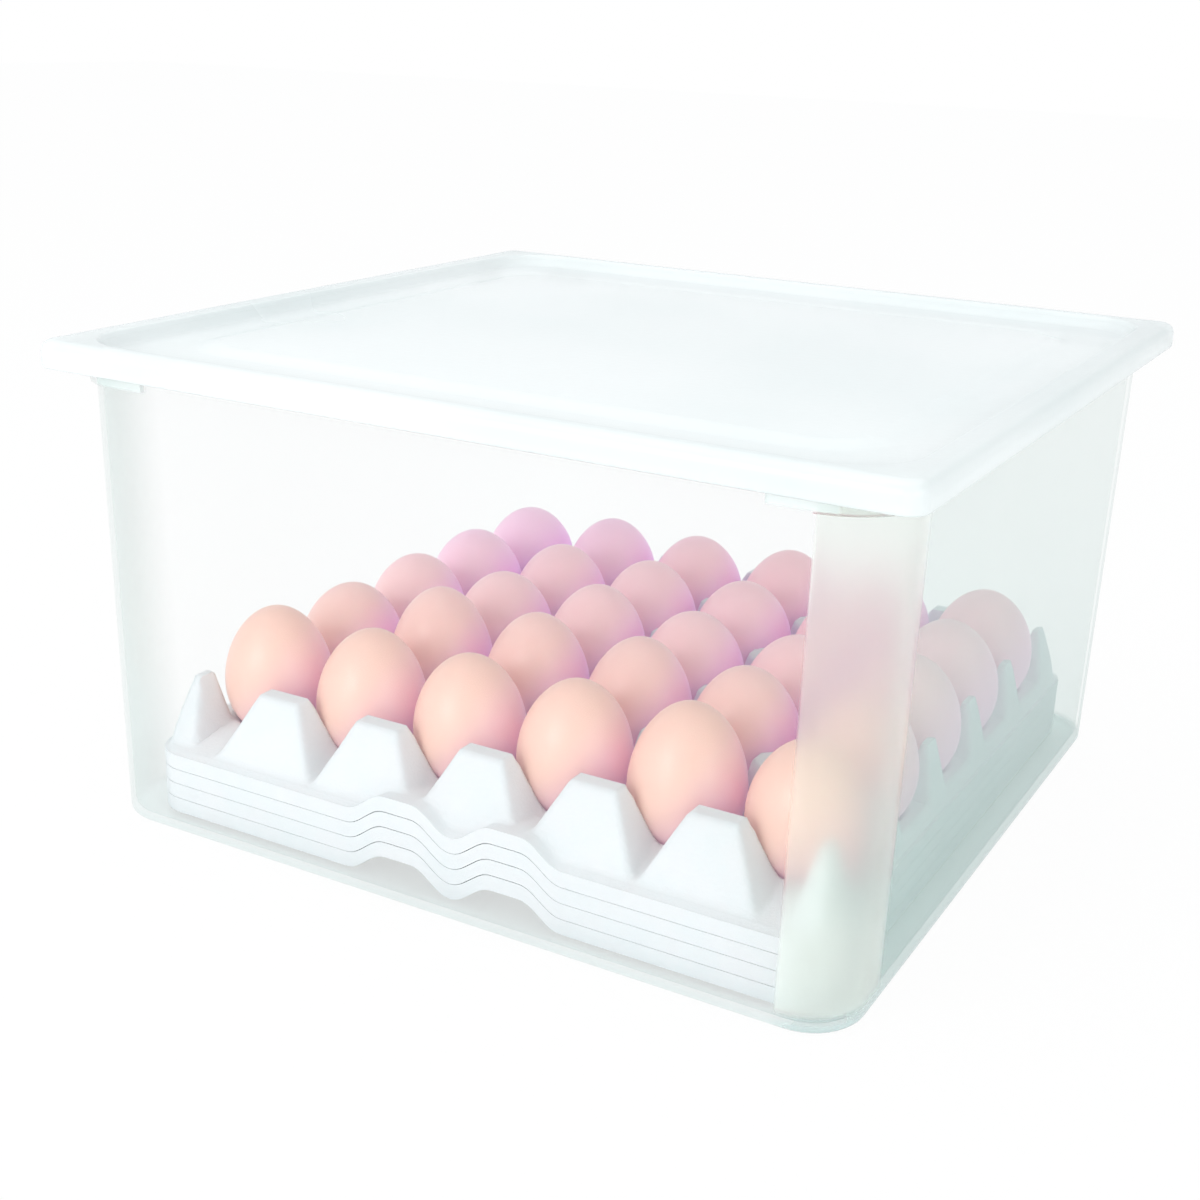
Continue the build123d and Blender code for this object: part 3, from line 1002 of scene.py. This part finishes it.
    def grid(self) -> tuple[Array, Array]:
        """Places of the mesh's points from the tray's middle, the outermost line twice, round at the corners.

        Returns:
            The places along the tray and into its depth.
        """
        lines = []
        for half in (self.half_x, self.half_y):
            line = np.linspace(-half, half, int(round(2 * half / self.step)) + 1)
            lines.append(np.concatenate(([line[0]], line, [line[-1]])))
        x, y = np.meshgrid(*lines, indexing="ij")
        wide = np.abs(x) - (self.half_x - self.corner)
        deep = np.abs(y) - (self.half_y - self.corner)
        corner = (wide > 0) & (deep > 0)
        across = np.where(corner, wide / self.corner, 0.0)
        along = np.where(corner, deep / self.corner, 0.0)
        round_x = across * np.sqrt(1 - along**2 / 2) * self.corner
        round_y = along * np.sqrt(1 - across**2 / 2) * self.corner
        x = np.where(corner, np.sign(x) * (self.half_x - self.corner + round_x), x)
        y = np.where(corner, np.sign(y) * (self.half_y - self.corner + round_y), y)
        return x, y

    def sheet_points(self, x: Array, y: Array) -> Array:
        """The sheet's upper and lower points, the lower set in along the upper face's own normals.

        Args:
            x: The points' places along the tray.
            y: The points' places into its depth.

        Returns:
            The upper points and then the lower points, in rows of three.
        """
        outermost = self.border(x.shape, 1)
        z = self.height(x, y)
        z = np.where(outermost, z - self.lip, z)
        upper = np.stack([x, y, z], axis=-1)
        slopes = []
        for axis, place in enumerate((x, y)):
            span = np.gradient(place, axis=axis)
            span = np.where(np.abs(span) < self.no_span, self.no_span, span)
            slopes.append(np.clip(np.gradient(z, axis=axis) / span, -self.steepest, self.steepest))
        normal = np.stack([-slopes[0], -slopes[1], np.ones_like(z)], axis=-1)
        normal /= np.linalg.norm(normal, axis=-1, keepdims=True)
        lip_sheet = self.sheet * self.lip_share
        inward = np.stack([-x / self.half_x, -y / self.half_y, np.zeros_like(z)], axis=-1)
        lipped = upper + inward * lip_sheet
        below = lipped - np.array([0.0, 0.0, lip_sheet])
        lower = np.where(self.border(x.shape, 2)[..., None], below, upper - normal * self.sheet)
        lower = np.where(outermost[..., None], lipped, lower)
        return np.concatenate([upper.reshape(-1, 3), lower.reshape(-1, 3)])

    def build(self, material: Material) -> Object:
        """Builds the tray's sheet, dressed, riding and standing for its node.

        Args:
            material: The pulp's material.

        Returns:
            The tray's object.
        """
        low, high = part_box(self.node)
        shift = np.array([(low.x + high.x) / 2, (low.y + high.y) / 2, low.z])
        x, y = self.grid()
        points = self.sheet_points(x, y) + shift
        total = x.size
        number = np.arange(total).reshape(x.shape)
        quads = np.stack([number[:-1, :-1], number[1:, :-1], number[1:, 1:], number[:-1, 1:]], axis=-1)
        quads = quads.reshape(-1, 4)
        border = np.concatenate([number[:, 0], number[-1, 1:], number[-2::-1, -1], number[0, -2:0:-1]])
        following = np.roll(border, -1)
        walls = np.stack([following, border, border + total, following + total], axis=-1)
        faces = np.concatenate([quads, quads[:, ::-1] + total, walls])
        tray = mesh_object(f"{self.node}_pulp", points, faces.tolist(), self.smooth_to)
        tray.data.materials.append(material)
        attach(tray, self.node)
        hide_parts(self.node)
        return tray


@dataclass
class Eggs:
    """The top tray's eggs, each formed by one Geometry Nodes tree from its own sizes.

    Sizes are in metres, the lean and the turn from egg to egg in degrees.
    """

    finish: Eggshell = Eggshell()
    width: float = 0.0446
    blunt: float = 0.025
    taper: float = 0.07
    pitch_x: float = 0.0475
    pitch_y: float = 0.0495
    lean: float = 2.0
    turn: float = 137.5
    rows: int = 5
    columns: int = 6
    segments: int = 56
    rings: int = 36

    def form(self, material: Material) -> NodeTree:
        """Builds the tree that forms an egg, with named inputs for its sizes.

        Args:
            material: The eggshell material.

        Returns:
            The Geometry Nodes tree.
        """
        tree = bpy.data.node_groups.new("egg_form", "GeometryNodeTree")
        face = tree.interface
        for name in ("Width", "Blunt Length", "Pointed Length", "Taper"):
            face.new_socket(name, in_out="INPUT", socket_type="NodeSocketFloat")
        for name in ("Turn", "Place"):
            face.new_socket(name, in_out="INPUT", socket_type="NodeSocketVector")
        face.new_socket("Geometry", in_out="OUTPUT", socket_type="NodeSocketGeometry")
        board = Board(tree)
        width, blunt, pointed, taper, turn, place, _ = board.outputs("NodeGroupInput", {})
        sizes = {"Segments": self.segments, "Rings": self.rings, "Radius": 1.0}
        ball = board.add("GeometryNodeMeshUVSphere", {}, sizes)
        x, y, z = board.outputs("ShaderNodeSeparateXYZ", {0: board.add("GeometryNodeInputPosition", {}, {})})
        up, down = z.most(0.0), z.least(0.0)
        radius = width * 0.5 * (1 - up * up * taper)
        height = up * pointed + down * blunt
        shaped = board.add("ShaderNodeCombineXYZ", {}, {0: x * radius, 1: y * radius, 2: height})
        made = board.add("GeometryNodeSetPosition", {}, {"Geometry": ball, "Position": shaped})
        move = {"Geometry": made, "Translation": place, "Rotation": turn}
        made = board.add("GeometryNodeTransform", {}, move)
        made = board.add("GeometryNodeSetShadeSmooth", {}, {"Geometry": made})
        made = board.add("GeometryNodeRealizeInstances", {}, {"Geometry": made})
        made = board.add("GeometryNodeSetMaterial", {}, {"Geometry": made, "Material": material})
        board.node("NodeGroupOutput", {}, {0: made})
        return tree

    def egg(self, node: str, turn: float, tree: NodeTree) -> Object:
        """Forms one egg in its place, riding and standing for its node.

        Args:
            node: The egg's node.
            turn: The way it leans, in degrees about the upright.
            tree: The tree that forms it.

        Returns:
            The egg's object.
        """
        low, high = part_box(node)
        leant = Matrix.Rotation(math.radians(self.lean), 3, "X")
        rotation = Matrix.Rotation(math.radians(turn), 3, "Z") @ leant
        values = {
            "Width": self.width,
            "Blunt Length": self.blunt,
            "Pointed Length": high.z - low.z - self.blunt,
            "Taper": self.taper,
            "Turn": rotation.to_euler(),
            "Place": Vector(((low.x + high.x) / 2, (low.y + high.y) / 2, low.z + self.blunt)),
        }
        holder = linked(f"{node}_former", bpy.data.meshes.new("former"))
        former = holder.modifiers.new("form", "NODES")
        former.node_group = tree
        for item in tree.interface.items_tree:
            if item.in_out == "INPUT":
                former[item.identifier] = values[item.name]
        bpy.context.view_layer.update()
        formed = holder.evaluated_get(bpy.context.evaluated_depsgraph_get())
        mesh = bpy.data.meshes.new_from_object(formed)
        bpy.data.objects.remove(holder)
        egg = linked(f"{node}_shell", mesh)
        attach(egg, node)
        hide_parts(node)
        return egg

    def build(self) -> list[Object]:
        """Builds every egg of the tray.

        Returns:
            The eggs' objects, row by row.
        """
        low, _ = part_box("egg_r1_c1")
        _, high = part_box(f"egg_r{self.rows}_c{self.columns}")
        middle = ((low.x + high.x) / 2, (low.y + high.y) / 2, low.z + self.blunt)
        tree = self.form(self.finish.material(self, middle))
        made = []
        for number in range(self.rows * self.columns):
            row, column = divmod(number, self.columns)
            made.append(self.egg(f"egg_r{row + 1}_c{column + 1}", self.turn * number, tree))
        return made


@dataclass(frozen=True)
class Lamp:
    """One square lamp that faces the box, in metres and watts."""

    name: str
    place: tuple[float, float, float]
    size: float
    power: float

    def hang(self, aim: Vector) -> None:
        """Hangs the lamp, facing a place.

        Args:
            aim: The place.
        """
        data = bpy.data.lights.new(self.name, "AREA")
        data.shape = "SQUARE"
        data.size = self.size
        data.energy = self.power
        lamp = linked(self.name, data)
        lamp.rotation_mode = "QUATERNION"
        lamp.rotation_quaternion = (aim - Vector(self.place)).to_track_quat("-Z", "Y")
        lamp.location = self.place


@dataclass
class Studio:
    """The camera, the floor and the light.

    Places are in metres and angles in degrees. The camera's yaw turns from +Y towards -X.
    """

    finish: PaleFloor = PaleFloor()
    camera_place: tuple[float, float, float] = (0.31645, -0.60873, 0.31627)
    yaw: float = 28.96
    pitch: float = -19.21
    roll: float = 1.83
    lens: float = 50.93
    sensor: float = 36.0
    nearest: float = 0.01
    furthest: float = 50.0
    floor_reach: float = 6.0
    floor_low: float = -0.0002
    sky_colour: Colour = (0.97, 0.985, 1.0, 1.0)
    sky_strength: float = 0.90
    aim: tuple[float, float, float] = (0.0, 0.0, 0.06)
    lamps: tuple[Lamp, ...] = (
        Lamp("key", (-0.45, -1.35, 0.6), 0.6, 5.3),
        Lamp("top", (-0.4, -0.3, 1.5), 1.2, 4.0),
        Lamp("side", (1.35, -0.5, 0.6), 1.0, 4.0),
    )

    def build(self) -> None:
        """Puts up the camera, the floor and the light."""
        self.set_camera()
        self.set_floor()
        self.set_light()

    def set_camera(self) -> None:
        """Puts up the camera."""
        yaw, pitch, roll = (math.radians(angle) for angle in (self.yaw, self.pitch, self.roll))
        ahead = Vector((-math.sin(yaw) * math.cos(pitch), math.cos(yaw) * math.cos(pitch), math.sin(pitch)))
        level = Vector((math.cos(yaw), math.sin(yaw), 0.0))
        up = level.cross(ahead)
        right = level * math.cos(roll) + up * math.sin(roll)
        top = up * math.cos(roll) - level * math.sin(roll)
        data = bpy.data.cameras.new("camera")
        data.lens = self.lens
        data.sensor_width = self.sensor
        data.clip_start = self.nearest
        data.clip_end = self.furthest
        camera = linked("camera", data)
        turned = Matrix((right, top, -ahead)).transposed().to_4x4()
        camera.matrix_world = Matrix.Translation(Vector(self.camera_place)) @ turned
        bpy.context.scene.camera = camera

    def set_floor(self) -> None:
        """Lays the floor."""
        reach = self.floor_reach
        flat = ((-reach, -reach), (reach, -reach), (reach, reach), (-reach, reach))
        points = np.array([(x, y, self.floor_low) for x, y in flat])
        floor = mesh_object("floor", points, [[0, 1, 2, 3]])
        floor.data.materials.append(self.finish.material())

    def set_light(self) -> None:
        """Sets the world's even light, white to the camera, and hangs the lamps."""
        world = bpy.data.worlds.new("studio")
        bpy.context.scene.world = world
        world.use_nodes = True
        board = Board(world.node_tree)
        rays = board.node("ShaderNodeLightPath", {}, {}).outputs
        seen = Signal(board, rays["Is Camera Ray"]).most(Signal(board, rays["Is Transmission Ray"]))
        sky = {"Color": self.sky_colour, "Strength": self.sky_strength}
        even = board.add("ShaderNodeBackground", {}, sky)
        white = board.add("ShaderNodeBackground", {}, {"Color": WHITE})
        board.node("ShaderNodeOutputWorld", {}, {"Surface": board.blend(seen, even, white)})
        for lamp in self.lamps:
            lamp.hang(Vector(self.aim))
        bpy.context.scene.view_settings.view_transform = "Standard"


def main() -> None:
    """Builds the box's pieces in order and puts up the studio."""
    logging.basicConfig(level=logging.INFO)
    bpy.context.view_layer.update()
    Studio().build()
    LOG.info("made %s", Tub().build().name)
    LOG.info("made %s", Lid().build().name)
    pulp = MouldedPulp().material()
    for tray in (Tray("tray_1"), Tray("tray_2"), Tray("tray_3"), Tray("tray_4", TOP_TRAY_STEP)):
        LOG.info("made %s", tray.build(pulp).name)
    for egg in Eggs().build():
        LOG.info("made %s", egg.name)


if __name__ == "__main__":
    main()
